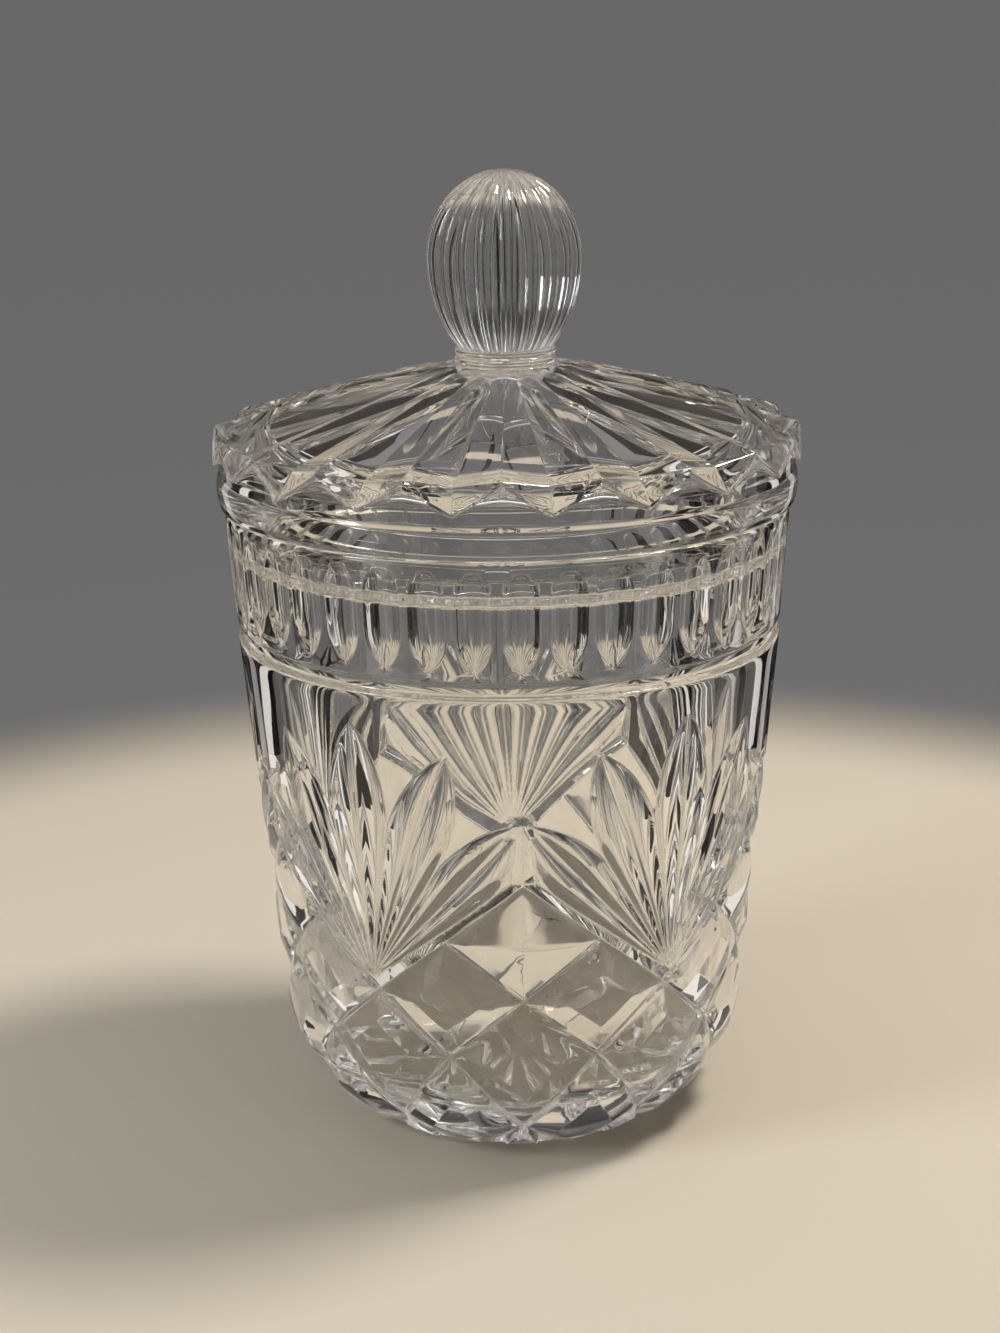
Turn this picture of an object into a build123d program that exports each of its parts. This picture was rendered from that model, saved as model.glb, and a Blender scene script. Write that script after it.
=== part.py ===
"""Clear crystal jar with a pleated lift-off lid and a ribbed knob; millimetres, +Z up, foot on z = 0."""

import os
from math import asin, atan, cos, degrees, hypot, pi, radians, sin, sqrt

from build123d import *

# The way the front column of diamonds faces, and the lid's turn from it, in degrees
front = -90.0
lid_turn = -3.3

# Jar, outside
jar_height = 152.5
rim_radius = 68.0
rim_round = 1.6
collar_height = 28.5
collar_taper = 2.1
collar_round = 1.6
cove_height = 3.6
cove_depth = 1.8
shoulder_round = 1.2
body_taper = 8.3
heel_height = 28.0
heel_inset = 17.6

# Jar, inside
rim_wall = 6.5
mouth_slack = 3.0
mouth_step = 2.5
body_wall = 8.6
floor_thickness = 14.0
floor_round = 11.0

# Cutting on the jar's body: diamonds below, fans above
repeats = 5
node_height = 44.4
row_rise = 15.0
heel_crossing = 7.0
groove_half_width = 3.0
groove_depth = 2.4
fan_lift = 4.1
fan_gap = 8.4
leaf_pairs = 2
leaf_step = 21.5
leaf_spread = 10.0
leaf_rib = 0.45
leaf_shortening = 0.028
leaf_widest = 0.65
leaf_slope = 0.8

# Flutes of the collar
flute_count = 40
flute_radius = 6.0
flute_depth = 1.3
flute_margin = 3.2
flute_point = 6.0

# Lid
lip_overhang = 2.3
lip_width = 9.0
lip_depth = 1.6
lip_zigzag = 6.0
lip_rise = 10.0
lip_edge = 0.8
bevel_slope = 1.2
skirt_step = 0.9
bead_bulge = 0.5
bead_height = 7.6
edge_height = 17.7
pleat_count = 20
pleat_rise = 18.8
pleat_depth = 2.8
cap_height = 34.1
cap_slope = 0.16
lid_thickness = 7.0
flange_height = 6.0
flange_wall = 3.6
flange_clearance = 0.6

# Knob and its ringed neck
neck_radius = 11.4
neck_height = 4.0
neck_ring = 0.7
knob_radius = 18.3
knob_below = 21.3
knob_above = 20.0
knob_tip_radius = 1.6
rib_count = 20
rib_depth = 0.075
knob_sections = 9

# How far every cutter stands out of the surface it cuts
overcut = 1.5

collar_foot = jar_height - collar_height
collar_radius = rim_radius - collar_taper
cove_radius = collar_radius - cove_depth
body_top = collar_foot - cove_height
shoulder_radius = collar_radius
waist_radius = shoulder_radius - body_taper
foot_radius = waist_radius - heel_inset
mouth_radius = rim_radius - rim_wall
mouth_foot = jar_height - flange_height - mouth_slack
inner_radius = mouth_radius - mouth_step
floor_radius = waist_radius - body_wall
body_slope = body_taper / (body_top - heel_height)
fan_origin = node_height + fan_lift
leaf_length = body_top - fan_gap - fan_origin

# The heel is an arc that leaves the body line smoothly and ends at the foot
slope_length = hypot(1.0, body_slope)
heel_radius = (heel_inset**2 + heel_height**2) * slope_length / (2 * (heel_inset - body_slope * heel_height))
heel_centre_r = waist_radius - heel_radius / slope_length
heel_centre_z = heel_height + heel_radius * body_slope / slope_length


def body_radius(z):
    """Outer radius of the uncut body at a height."""
    if z >= heel_height:
        return waist_radius + (z - heel_height) * body_slope
    return heel_centre_r + sqrt(heel_radius**2 - (z - heel_centre_z) ** 2)


def body_point(angle, z):
    """Point on the uncut body."""
    r = body_radius(z)
    return Vector(r * cos(radians(angle)), r * sin(radians(angle)), z)


def body_normal(angle, z):
    """Outward direction of the uncut body."""
    nr, nz = slope_length, -body_slope * slope_length
    if z < heel_height:
        nr, nz = body_radius(z) - heel_centre_r, z - heel_centre_z
    return Vector(nr * cos(radians(angle)), nr * sin(radians(angle)), nz).normalized()


def mitre(stations):
    """V-shaped cutter along (angle, height, half width, depth) stations on the body."""
    points = [body_point(a, z) for a, z, w, d in stations]
    sections = []
    for i, (a, z, w, d) in enumerate(stations):
        ahead = points[min(i + 1, len(points) - 1)] - points[max(i - 1, 0)]
        out = body_normal(a, z)
        side = out.cross(ahead).normalized()
        top = w * (d + overcut) / d
        with BuildSketch(Plane(points[i], x_dir=side, z_dir=side.cross(out))) as section:
            Polygon((0, -d), (top, overcut), (-top, overcut), align=None)
        sections.append(section.sketch.face())
    return loft(sections, ruled=True, mode=Mode.PRIVATE)


def leaf_stations(middle, side, index, way):
    """Stations of one hollow of a leaf: straight along the leaf's rib, bowed on the other side."""
    tilt = radians(index * leaf_step + way * leaf_rib)
    length = leaf_length * (1 - leaf_shortening * index**2)
    widest = leaf_widest * length * radians(leaf_spread) / 2
    shape = [(0.06, 0.08), (leaf_widest / 2, 0.5), (leaf_widest, 1.0), ((1 + 2 * leaf_widest) / 3, 0.93)]
    shape += [((2 + leaf_widest) / 3, 0.62), (1.0, 0.05)]
    stations = []
    for share, width in shape:
        along, half = share * length, width * widest
        z = fan_origin + along * cos(tilt) - way * half * sin(tilt)
        aside = along * sin(tilt) + way * half * cos(tilt)
        stations.append((middle + side * degrees(aside / body_radius(z)), z, half, half * leaf_slope))
    return stations


def groove_stations(corners):
    """Stations of a lattice groove through its corners, with one more between each two."""
    stations = []
    for (a0, z0), (a1, z1) in zip(corners, corners[1:]):
        stations.append((a0, z0, groove_half_width, groove_depth))
        stations.append(((a0 + a1) / 2, (z0 + z1) / 2, groove_half_width, groove_depth))
    stations.append((*corners[-1], groove_half_width, groove_depth))
    return stations


def star(outer, inner, count):
    """Corners of a star, turned as the lid is set down."""
    corners = []
    for i in range(2 * count):
        r = inner if i % 2 else outer
        turn = radians(front + lid_turn) + pi * i / count
        corners.append((r * cos(turn), r * sin(turn)))
    return corners


quarter = 360 / repeats / 4
row_heights = [node_height + 2 * row_rise, node_height + row_rise, node_height, node_height - row_rise, heel_crossing]

# One flute cutter, pointed below and blunter above
flute_reach = collar_height / 2 - flute_margin
with BuildPart() as flute:
    with BuildSketch(Plane.XZ):
        with BuildLine():
            Polyline(
                (0, -flute_reach),
                (flute_radius, flute_point - flute_reach),
                (flute_radius, flute_reach - flute_point / 2),
                (0, flute_reach),
                close=True,
            )
        make_face()
    revolve(axis=Axis.Z)

# Jar
with BuildPart() as jar:
    with BuildSketch(Plane.XZ):
        with BuildLine():
            foot = Line((0, 0), (foot_radius, 0))
            heel = RadiusArc(foot @ 1, (waist_radius, heel_height), -heel_radius)
            body = Line(heel @ 1, (shoulder_radius, body_top))
            cove = Polyline(
                body @ 1,
                (cove_radius, body_top),
                (cove_radius, collar_foot),
                (collar_radius, collar_foot),
                (rim_radius, jar_height),
                (mouth_radius, jar_height),
                (mouth_radius, mouth_foot),
                (inner_radius, mouth_foot - mouth_step),
                (floor_radius, floor_thickness),
                (0, floor_thickness),
                (0, 0),
            )
        make_face()
        rounds = [(floor_radius, floor_thickness, floor_round), (collar_radius, collar_foot, collar_round)]
        rounds += [(rim_radius, jar_height, rim_round), (mouth_radius, jar_height, rim_round)]
        rounds += [(shoulder_radius, body_top, shoulder_round)]
        for r, z, size in rounds:
            fillet(vertices().sort_by_distance((r, z))[0], size)
    revolve(axis=Axis.Z)

    # Flutes lean with the slope of the collar
    flute_axis = rim_radius - collar_taper / 2 - flute_depth + flute_radius
    flute_lean = degrees(atan(collar_taper / collar_height))
    with PolarLocations(0, flute_count, start_angle=front):
        with Locations(Location((flute_axis, 0, collar_foot + collar_height / 2), (0, flute_lean, 0))):
            add(flute.part, mode=Mode.SUBTRACT)

    columns = [front + 4 * quarter * k for k in range(repeats)]

    # Lattice grooves run down both ways and cross on the heel
    for way in (-1, 1):
        grooves = []
        for column in columns:
            long = [(column + way * quarter * i, z) for i, z in enumerate(row_heights)]
            short = [(column + way * quarter * (i - 1), z) for i, z in enumerate(row_heights[1:])]
            grooves.append(mitre(groove_stations(long)))
            grooves.append(mitre(groove_stations(short)))
        add(grooves, mode=Mode.SUBTRACT)

    # Fans stand between the columns; each leaf has a hollow on either side of its rib
    for side, way in ((-1, 1), (1, 1), (-1, -1), (1, -1)):
        hollows = []
        for column in columns:
            for index in range(0 if way > 0 else 1, leaf_pairs + 1):
                hollows.append(mitre(leaf_stations(column + 2 * quarter, side, index, way)))
        add(hollows, mode=Mode.SUBTRACT)

    # A groove rises from each tall diamond to the tips of the leaves beside it
    peak = leaf_stations(front, 1, leaf_pairs, 1)[-1][1]
    peaks = [mitre(groove_stations([(column, row_heights[0]), (column, peak)])) for column in columns]
    add(peaks, mode=Mode.SUBTRACT)
jar.part.label = "jar"

# Lid, closed on the jar's rim
seat = jar_height
lid_radius = rim_radius + lip_overhang
skirt_radius = rim_radius + skirt_step
edge = seat + edge_height
apex = edge + pleat_rise
ridge_slope = pleat_rise / lid_radius
valley_slope = (pleat_rise + pleat_depth) / lid_radius
lip_apex = edge - lip_depth + lip_rise
bevel_apex = edge - lip_depth + lip_edge + bevel_slope * lid_radius
bevel_valley_slope = bevel_slope + lip_zigzag / lid_radius
flange_radius = mouth_radius - flange_clearance
hollow_radius = flange_radius - flange_wall
hollow_edge = apex - valley_slope * hollow_radius - lid_thickness
hollow_top = apex - valley_slope * neck_radius - lid_thickness
neck_top = seat + cap_height - cap_slope * neck_radius + neck_height

with BuildPart() as lid:
    # The overhanging lip, zigzag below
    with BuildSketch(Plane.XZ):
        with Locations((lid_radius, seat)):
            Rectangle(lip_width, edge_height, align=(Align.MAX, Align.MIN))
    revolve(axis=Axis.Z)
    with BuildSketch(mode=Mode.PRIVATE) as lip_star:
        lip_tip = lip_apex * lid_radius / lip_rise
        lip_dip = lip_apex * lid_radius / (lip_rise + lip_zigzag)
        Polygon(*star(lip_tip, lip_dip, pleat_count), align=None)
    loft([lip_star.face(), Vertex(0, 0, lip_apex)], ruled=True, mode=Mode.SUBTRACT)

    # The skirt with its bead, the cap and the plug flange
    with BuildSketch(Plane.XZ):
        with BuildLine():
            plug = Polyline(
                (skirt_radius, seat + bead_height),
                (skirt_radius, seat + cap_height - cap_slope * skirt_radius),
                (0, seat + cap_height),
                (0, seat - flange_height),
                (flange_radius, seat - flange_height),
                (flange_radius, seat),
                (skirt_radius - bead_bulge, seat),
            )
            ThreePointArc(plug @ 1, (skirt_radius + bead_bulge, seat + bead_height / 2), plug @ 0)
        make_face()
    revolve(axis=Axis.Z)

    # Pleats: a many-sided star roof whose ridges and valleys meet above the cap
    with BuildSketch(mode=Mode.PRIVATE) as roof_star:
        Polygon(*star(apex / ridge_slope, apex / valley_slope, pleat_count), align=None)
    loft([roof_star.face(), Vertex(0, 0, apex)], ruled=True, mode=Mode.INTERSECT)

    # A steeper star bevels the lip, so that each valley ends in a pointed tooth
    with BuildSketch(mode=Mode.PRIVATE) as bevel_star:
        Polygon(*star(bevel_apex / bevel_slope, bevel_apex / bevel_valley_slope, pleat_count), align=None)
    loft([bevel_star.face(), Vertex(0, 0, bevel_apex)], ruled=True, mode=Mode.INTERSECT)

    # Ringed neck under the knob
    with BuildSketch(Plane.XZ):
        with BuildLine():
            Polyline(
                (0, hollow_top + lid_thickness / 2),
                (neck_radius, hollow_top + lid_thickness / 2),
                (neck_radius, neck_top - neck_height),
                (neck_radius + neck_ring, neck_top - 0.75 * neck_height),
                (neck_radius, neck_top - 0.5 * neck_height),
                (neck_radius + neck_ring, neck_top - 0.25 * neck_height),
                (neck_radius, neck_top),
                (0, neck_top),
                close=True,
            )
        make_face()
    revolve(axis=Axis.Z)

    # Hollow underside
    with BuildSketch(Plane.XZ):
        with BuildLine():
            Polyline(
                (0, seat - flange_height),
                (hollow_radius, seat - flange_height),
                (hollow_radius, hollow_edge),
                (neck_radius, hollow_top),
                (0, hollow_top),
                close=True,
            )
        make_face()
    revolve(axis=Axis.Z, mode=Mode.SUBTRACT)
lid.part.label = "lid"

# Knob: ribs bulge between valleys that run from the neck to the tip
knob_middle = neck_top + knob_below
knob_lower = knob_below / sqrt(1 - (neck_radius / knob_radius) ** 2)
low_turn = -asin(knob_below / knob_lower)
high_turn = pi / 2 - knob_tip_radius / knob_radius

with BuildPart() as knob:
    for i in range(knob_sections):
        turn = low_turn + (high_turn - low_turn) * i / (knob_sections - 1)
        crest = knob_radius * cos(turn)
        valley = crest * (1 - rib_depth)
        height = knob_middle + (knob_above if turn > 0 else knob_lower) * sin(turn)
        with BuildSketch(Plane.XY.offset(height)):
            with BuildLine():
                for j in range(rib_count):
                    ends = [2 * pi * (j + s) / rib_count for s in (-0.5, 0, 0.5)]
                    rib = [(r * cos(t), r * sin(t)) for r, t in zip((valley, crest, valley), ends)]
                    ThreePointArc(*rib)
            make_face()
    loft()
knob.part.label = "knob"

os.makedirs("parts", exist_ok=True)
export_step(jar.part, "parts/jar.step")
export_step(lid.part, "parts/lid.step")
export_step(knob.part, "parts/knob.step")
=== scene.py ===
"""Clear crystal jar with a pleated lift-off lid and a ribbed knob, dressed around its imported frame.

The classes hold millimetres and degrees; the meshes that they write are in metres.
"""

import logging
from dataclasses import dataclass
from enum import Enum
from math import atan2, cos, hypot, pi, radians, sin, sqrt, tan
from typing import Iterable, Sequence

import bmesh
import bpy
import numpy as np
from mathutils import Matrix, Vector
from mathutils.geometry import delaunay_2d_cdt


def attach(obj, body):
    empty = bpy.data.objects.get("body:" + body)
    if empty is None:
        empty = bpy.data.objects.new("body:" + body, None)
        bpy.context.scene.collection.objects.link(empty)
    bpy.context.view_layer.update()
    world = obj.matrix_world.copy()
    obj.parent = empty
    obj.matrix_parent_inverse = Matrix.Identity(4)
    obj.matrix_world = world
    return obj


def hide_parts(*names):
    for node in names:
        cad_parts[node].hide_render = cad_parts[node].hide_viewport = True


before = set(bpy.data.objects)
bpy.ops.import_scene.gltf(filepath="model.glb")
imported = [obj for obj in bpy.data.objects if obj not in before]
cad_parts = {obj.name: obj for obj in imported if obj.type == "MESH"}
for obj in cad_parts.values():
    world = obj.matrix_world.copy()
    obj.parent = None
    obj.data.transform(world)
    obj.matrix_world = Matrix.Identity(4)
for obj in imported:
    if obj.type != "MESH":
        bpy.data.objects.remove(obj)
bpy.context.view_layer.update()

log = logging.getLogger("crystal_jar")

Array = np.ndarray
Triple = tuple[float, float, float]
Socket = bpy.types.NodeSocket
MM = 0.001
FRONT = -90.0
BAKE_MAP = "OFBake"
LIGHT_BOUNCES = 18


class Body(Enum):
    """Bodies of the frame that the pieces ride on."""

    JAR = "jar"
    LID = "lid"


class Slot(Enum):
    """Material slots of the record."""

    JAR = "jar_crystal"
    LID = "lid_crystal"
    KNOB = "knob_crystal"


class Part(Enum):
    """Which of a piece's two materials a face takes."""

    SURFACE = 0
    JOINT = 1


# ---------------------------------------------------------------- objects and nodes


def placed(name: str, data: bpy.types.ID) -> bpy.types.Object:
    """Makes an object of a mesh, a lamp or a camera and links it to the scene."""
    made = bpy.data.objects.new(name, data)
    bpy.context.scene.collection.objects.link(made)
    return made


def quad(name: str, corners: Sequence) -> bpy.types.Object:
    """Makes an object of one four-sided face."""
    mesh = bpy.data.meshes.new(name)
    mesh.from_pydata(corners, [], [(0, 1, 2, 3)])
    return placed(name, mesh)


def node_material(name: str) -> tuple:
    """Makes a node material and gives it with its nodes and its links."""
    material = bpy.data.materials.new(name)
    material.use_nodes = True
    return material, material.node_tree.nodes, material.node_tree.links


def set_inputs(node: bpy.types.Node, values: dict) -> None:
    """Sets plain values of a node's inputs, by name."""
    for name, value in values.items():
        node.inputs[name].default_value = value


# ---------------------------------------------------------------- outlines and shells


@dataclass(frozen=True)
class Corner:
    """One corner of an outline in the plane of the axis."""

    r: float
    z: float
    round: float = 0.0


def rounded_outline(corners: Sequence[Corner], pieces: int = 5) -> Array:
    """Rounds an outline's corners, each in as many straight pieces, and gives rows of (r, z)."""
    points = []
    for i, corner in enumerate(corners):
        if corner.round == 0.0 or i in (0, len(corners) - 1):
            points.append((corner.r, corner.z))
            continue
        here = np.array((corner.r, corner.z))
        before = np.array((corners[i - 1].r, corners[i - 1].z)) - here
        after = np.array((corners[i + 1].r, corners[i + 1].z)) - here
        back, ahead = np.linalg.norm(before), np.linalg.norm(after)
        before, after = before / back, after / ahead
        half = 0.5 * np.arccos(np.clip(before @ after, -1.0, 1.0))
        reach = min(corner.round / tan(half), 0.49 * back, 0.49 * ahead)
        for j in range(pieces + 1):
            t = j / pieces
            point = here + reach * ((1 - t) ** 2 * before + t**2 * after)
            points.append((float(point[0]), float(point[1])))
    return np.array(points)


def divided(points: Array, longest: float) -> Array:
    """Adds points to a flat path so that no straight run is longer than a length."""
    out = [points[0]]
    for a, b in zip(points, points[1:]):
        count = max(1, int(np.ceil(np.linalg.norm(b - a) / longest)))
        out += [a + (b - a) * k / count for k in range(1, count + 1)]
    return np.array(out)


def fold_columns(half_fold: Array, count: int, first: float) -> tuple[Array, Array]:
    """Spreads a ring's points over folds that mirror about their middles: pleats, ribs or flutes.

    Args:
        half_fold: Offsets over half a fold, from 0 at its middle to half the pitch, in degrees.
        count: How many folds go round.
        first: The angle of the first fold's middle.

    Returns:
        Angles of the ring's points and their offsets from the nearest fold's middle, in degrees.
    """
    pitch = 360.0 / count
    offsets = np.concatenate([half_fold[:-1], -half_fold[::-1][:-1]])
    middles = first + pitch * np.arange(count)
    turns = middles[:, None] + np.where(offsets < 0, offsets + pitch, offsets)[None, :]
    return turns.ravel(), np.tile(np.abs(offsets), count)


class Shell:
    """Collects the rings and patches of one closed piece of glass.

    Rings run anticlockwise seen from above, and each joins the one before it along a path that
    starts on the axis, goes round the outside of the glass and ends on the axis.
    """

    MAP_SPAN = 372.0  # degrees across the map, with room for faces that pass the full turn

    def __init__(self) -> None:
        """Starts with no points and no faces."""
        self.points: list[Array] = []
        self.places: list[Array] = []
        self.faces: list[Array] = []
        self.parts: list[Array] = []
        self.count = 0

    def add(self, points: Array, turns: Array, run: Array | float) -> Array:
        """Adds points (x, y, z), each with its angle and its run along the path, and gives their numbers."""
        numbers = np.arange(self.count, self.count + len(points))
        self.points.append(np.asarray(points, float))
        place = np.empty((len(points), 2))
        place[:, 0] = np.mod(turns, 360.0)
        place[:, 1] = run
        self.places.append(place)
        self.count += len(points)
        return numbers

    def ring(self, radii: Array | float, turns: Array, heights: Array | float, run: float) -> Array:
        """Adds a ring of points given by radius, angle in degrees and height."""
        a = np.radians(turns)
        points = np.stack([radii * np.cos(a), radii * np.sin(a), heights + 0.0 * a], 1)
        return self.add(points, turns, run)

    def face(self, faces: Array, part: Part = Part.SURFACE) -> None:
        """Adds faces given by the numbers of their points."""
        self.faces.append(np.asarray(faces, int))
        self.parts.append(np.full(len(faces), part.value))

    def bridge(self, first: Array, second: Array, part: Part = Part.SURFACE) -> None:
        """Joins two rings of as many points with four-sided faces."""
        self.face(np.stack([first, np.roll(first, -1), np.roll(second, -1), second], 1), part)

    def cap(self, ring: Array, height: float, run: float, last: bool, part: Part = Part.SURFACE) -> None:
        """Closes a ring with a fan of triangles, where the path ends (last) or where it starts."""
        middle = self.add(np.array([(0.0, 0.0, height)]), np.array([0.0]), run)[0]
        centre = np.full(len(ring), middle)
        ahead = np.roll(ring, -1)
        fan = (ring, ahead, centre) if last else (centre, ahead, ring)
        self.face(np.stack(fan, 1), part)

    def write(self, name: str) -> bpy.types.Object:
        """Makes the mesh object, smooth shaded, with an unrolled map."""
        points = np.concatenate(self.points) * MM
        place = np.concatenate(self.places)
        loops = [row for block in self.faces for row in block.tolist()]
        mesh = bpy.data.meshes.new(name)
        mesh.from_pydata(points.tolist(), [], loops)
        mesh.polygons.foreach_set("use_smooth", np.ones(len(loops), bool))
        mesh.polygons.foreach_set("material_index", np.concatenate(self.parts).astype(np.int32))
        layer = mesh.uv_layers.new(name=BAKE_MAP)
        layer.uv.foreach_set("vector", self.unrolled(loops, place).astype(np.float32).ravel())
        mesh.update()
        log.info("%s: %d points, %d faces", name, len(points), len(loops))
        return placed(name, mesh)

    @staticmethod
    def unrolled(loops: list[list[int]], place: Array) -> Array:
        """Unrolls the piece round its axis: a place (u, v) from 0 to 1 for each corner of each face."""
        sizes = np.array([len(loop) for loop in loops])
        flat = np.array([n for loop in loops for n in loop])
        owner = np.repeat(np.arange(len(loops)), sizes)
        turn = place[flat, 0]
        widest = np.full(len(loops), -1.0)
        np.maximum.at(widest, owner, turn)
        turn = np.where(widest[owner] - turn > 180.0, turn + 360.0, turn)
        run = place[flat, 1]
        return np.stack([turn / Shell.MAP_SPAN, run / max(run.max(), 1e-6)], 1)


# ---------------------------------------------------------------- finishes


@dataclass(frozen=True)
class CrystalFinish:
    """Polished clear crystal: faintly warm, a little wavy, with soft handling marks."""

    name: str
    tint: Triple = (0.970, 0.965, 0.945)
    thick_tint: Triple = (0.940, 0.930, 0.900)
    ior: float = 1.54
    wave_scale: float = 46.0
    wave_depth: float = 0.00004
    mark_scale: float = 38.0
    mark_roughness: float = 0.05

    def material(self) -> bpy.types.Material:
        """Makes the material, whose roughness, colour and bump come from noise in the object's frame."""
        material, nodes, links = node_material(self.name)
        shader = nodes["Principled BSDF"]
        set_inputs(shader, {"IOR": self.ior, "Transmission Weight": 1.0})
        place = nodes.new("ShaderNodeTexCoord").outputs["Object"]

        def noise(scale: float, detail: float) -> Socket:
            """Adds a noise pattern and returns its value."""
            node = nodes.new("ShaderNodeTexNoise")
            set_inputs(node, {"Scale": scale, "Detail": detail})
            links.new(place, node.inputs["Vector"])
            return node.outputs["Fac"]

        def ramp(value: Socket, low: tuple, high: tuple) -> Socket:
            """Maps a value to two stops, each (position, colour), and returns the colour."""
            node = nodes.new("ShaderNodeValToRGB")
            for stop, (at, colour) in zip(node.color_ramp.elements, (low, high)):
                stop.position = at
                stop.color = (*colour, 1.0)
            links.new(value, node.inputs["Fac"])
            return node.outputs["Color"]

        rough = self.mark_roughness
        marks = ramp(noise(self.mark_scale, 5.0), (0.58, (0.0,) * 3), (0.80, (rough,) * 3))
        links.new(marks, shader.inputs["Roughness"])
        colour = ramp(noise(14.0, 1.0), (0.30, self.tint), (0.75, self.thick_tint))
        links.new(colour, shader.inputs["Base Color"])
        bump = nodes.new("ShaderNodeBump")
        set_inputs(bump, {"Strength": 1.0, "Distance": self.wave_depth})
        links.new(noise(self.wave_scale, 1.5), bump.inputs["Height"])
        links.new(bump.outputs["Normal"], shader.inputs["Normal"])
        return material


@dataclass(frozen=True)
class JointFinish:
    """The place inside the glass where lid and knob are one: light passes straight on."""

    name: str = "clear_joint"

    def material(self) -> bpy.types.Material:
        """Makes the see-through material of the hidden joint faces."""
        material, nodes, links = node_material(self.name)
        nodes.remove(nodes["Principled BSDF"])
        clear = nodes.new("ShaderNodeBsdfTransparent")
        links.new(clear.outputs["BSDF"], nodes["Material Output"].inputs["Surface"])
        return material


@dataclass(frozen=True)
class StageFinish:
    """Plain matt paper of the studio: pale round the object, an even grey further off.

    The far grey doesn't hang on the lamps. Seen through the glass, the pale paper also glows faintly in its
    colour, painted light that shows it lit also where it stands in the object's shadow. Neither lights the
    object.
    """

    name: str
    near: Triple
    far: Triple
    near_reach: float
    far_reach: float
    # share of its pale colour that the near paper glows with through the glass: painted light
    glow: float

    def material(self) -> bpy.types.Material:
        """Makes the matt material."""
        material, nodes, links = node_material(self.name)
        shader = nodes["Principled BSDF"]
        set_inputs(shader, {"Roughness": 0.9, "Specular IOR Level": 0.1})

        def mixed(factor: Socket, near: tuple, far: tuple) -> Socket:
            """Adds a mix of two colours and returns it."""
            node = nodes.new("ShaderNodeMix")
            node.data_type = "RGBA"
            colours = {"A": near, "B": far}
            for socket in node.inputs:
                if socket.type == "RGBA" and socket.name in colours:
                    socket.default_value = (*colours[socket.name], 1.0)
            links.new(factor, node.inputs["Factor"])
            return [socket for socket in node.outputs if socket.type == "RGBA"][0]

        def maths(kind: str, first: Socket, second: Socket) -> Socket:
            """Adds a sum, product or other step and returns its value."""
            node = nodes.new("ShaderNodeMath")
            node.operation = kind
            links.new(first, node.inputs[0])
            links.new(second, node.inputs[1])
            return node.outputs["Value"]

        place = nodes.new("ShaderNodeNewGeometry").outputs["Position"]
        length = nodes.new("ShaderNodeVectorMath")
        length.operation = "LENGTH"
        links.new(place, length.inputs[0])
        reach = nodes.new("ShaderNodeMapRange")
        reach.interpolation_type = "SMOOTHSTEP"
        set_inputs(reach, {"From Min": self.near_reach, "From Max": self.far_reach})
        links.new(length.outputs["Value"], reach.inputs["Value"])
        away = reach.outputs["Result"]
        links.new(mixed(away, self.near, (0.02, 0.02, 0.02)), shader.inputs["Base Color"])

        # Painted light: through the glass the near paper glows with a share of its colour, so it looks lit
        # also in the object's shadow.
        painted_glow = tuple(self.glow * part for part in self.near)
        links.new(mixed(away, painted_glow, self.far), shader.inputs["Emission Color"])
        light = nodes.new("ShaderNodeLightPath").outputs
        seen = maths("MAXIMUM", light["Is Camera Ray"], light["Is Glossy Ray"])
        shown = maths("MAXIMUM", maths("MULTIPLY", seen, away), light["Is Transmission Ray"])
        links.new(shown, shader.inputs["Emission Strength"])
        return material


# ---------------------------------------------------------------- jar


@dataclass
class BodyLine:
    """Outside of the uncut body: a straight taper that runs into a round heel."""

    waist_radius: float = 57.6
    foot_radius: float = 40.0
    heel_height: float = 28.0
    top: float = 120.4
    taper: float = 8.3

    def __post_init__(self) -> None:
        """Works out the heel's arc, which leaves the body line smoothly and ends at the foot."""
        slope = self.taper / (self.top - self.heel_height)
        length = hypot(1.0, slope)
        inset = self.waist_radius - self.foot_radius
        radius = (inset**2 + self.heel_height**2) * length / (2 * (inset - slope * self.heel_height))
        self.heel_radius = radius
        self.centre_r = self.waist_radius - radius / length
        self.centre_z = self.heel_height + radius * slope / length
        self.start = atan2(-self.centre_z, self.foot_radius - self.centre_r)
        end = atan2(self.heel_height - self.centre_z, self.waist_radius - self.centre_r)
        self.heel_run = radius * (end - self.start)
        self.normal = (1.0 / length, -slope / length)

    def at(self, run: Array) -> tuple[Array, Array, Array, Array]:
        """Finds radius, height and outward direction (r, z) at distances along it from the foot's edge."""
        turn = self.start + np.minimum(run, self.heel_run) / self.heel_radius
        over = np.maximum(run - self.heel_run, 0.0)
        straight = run > self.heel_run
        nr = np.where(straight, self.normal[0], np.cos(turn))
        nz = np.where(straight, self.normal[1], np.sin(turn))
        r = self.centre_r + self.heel_radius * np.cos(turn) - over * self.normal[1]
        z = self.centre_z + self.heel_radius * np.sin(turn) + over * self.normal[0]
        return r, z, nr, nz

    def run_at(self, z: Array) -> Array:
        """Finds the distances along the line of heights."""
        z = np.asarray(z, float)
        turn = np.arcsin(np.clip((z - self.centre_z) / self.heel_radius, -1.0, 0.0))
        arc = (turn - self.start) * self.heel_radius
        return np.where(z < self.heel_height, arc, self.heel_run + (z - self.heel_height) / self.normal[0])


@dataclass(frozen=True)
class Cut:
    """One cut on the body: a path, and its half width along it."""

    path: Array
    half_width: Array
    slope: float
    hollow: float

    def depth(self, points: Array) -> Array:
        """Finds how deep the cut is, in mm and never below zero, at points (x, y, z) of the uncut body."""
        best = np.full(len(points), np.inf)
        width = np.zeros(len(points))
        for a, b, wa, wb in zip(self.path, self.path[1:], self.half_width, self.half_width[1:]):
            along = b - a
            share = np.clip((points - a) @ along / (along @ along), 0.0, 1.0)
            away = np.linalg.norm(points - a - share[:, None] * along, axis=1)
            nearer = away < best
            best = np.where(nearer, away, best)
            width = np.where(nearer, wa + (wb - wa) * share, width)
        inside = np.clip(best / np.maximum(width, 1e-6), 0.0, 1.0)
        return self.slope * width * (1.0 - inside**self.hollow)


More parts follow.
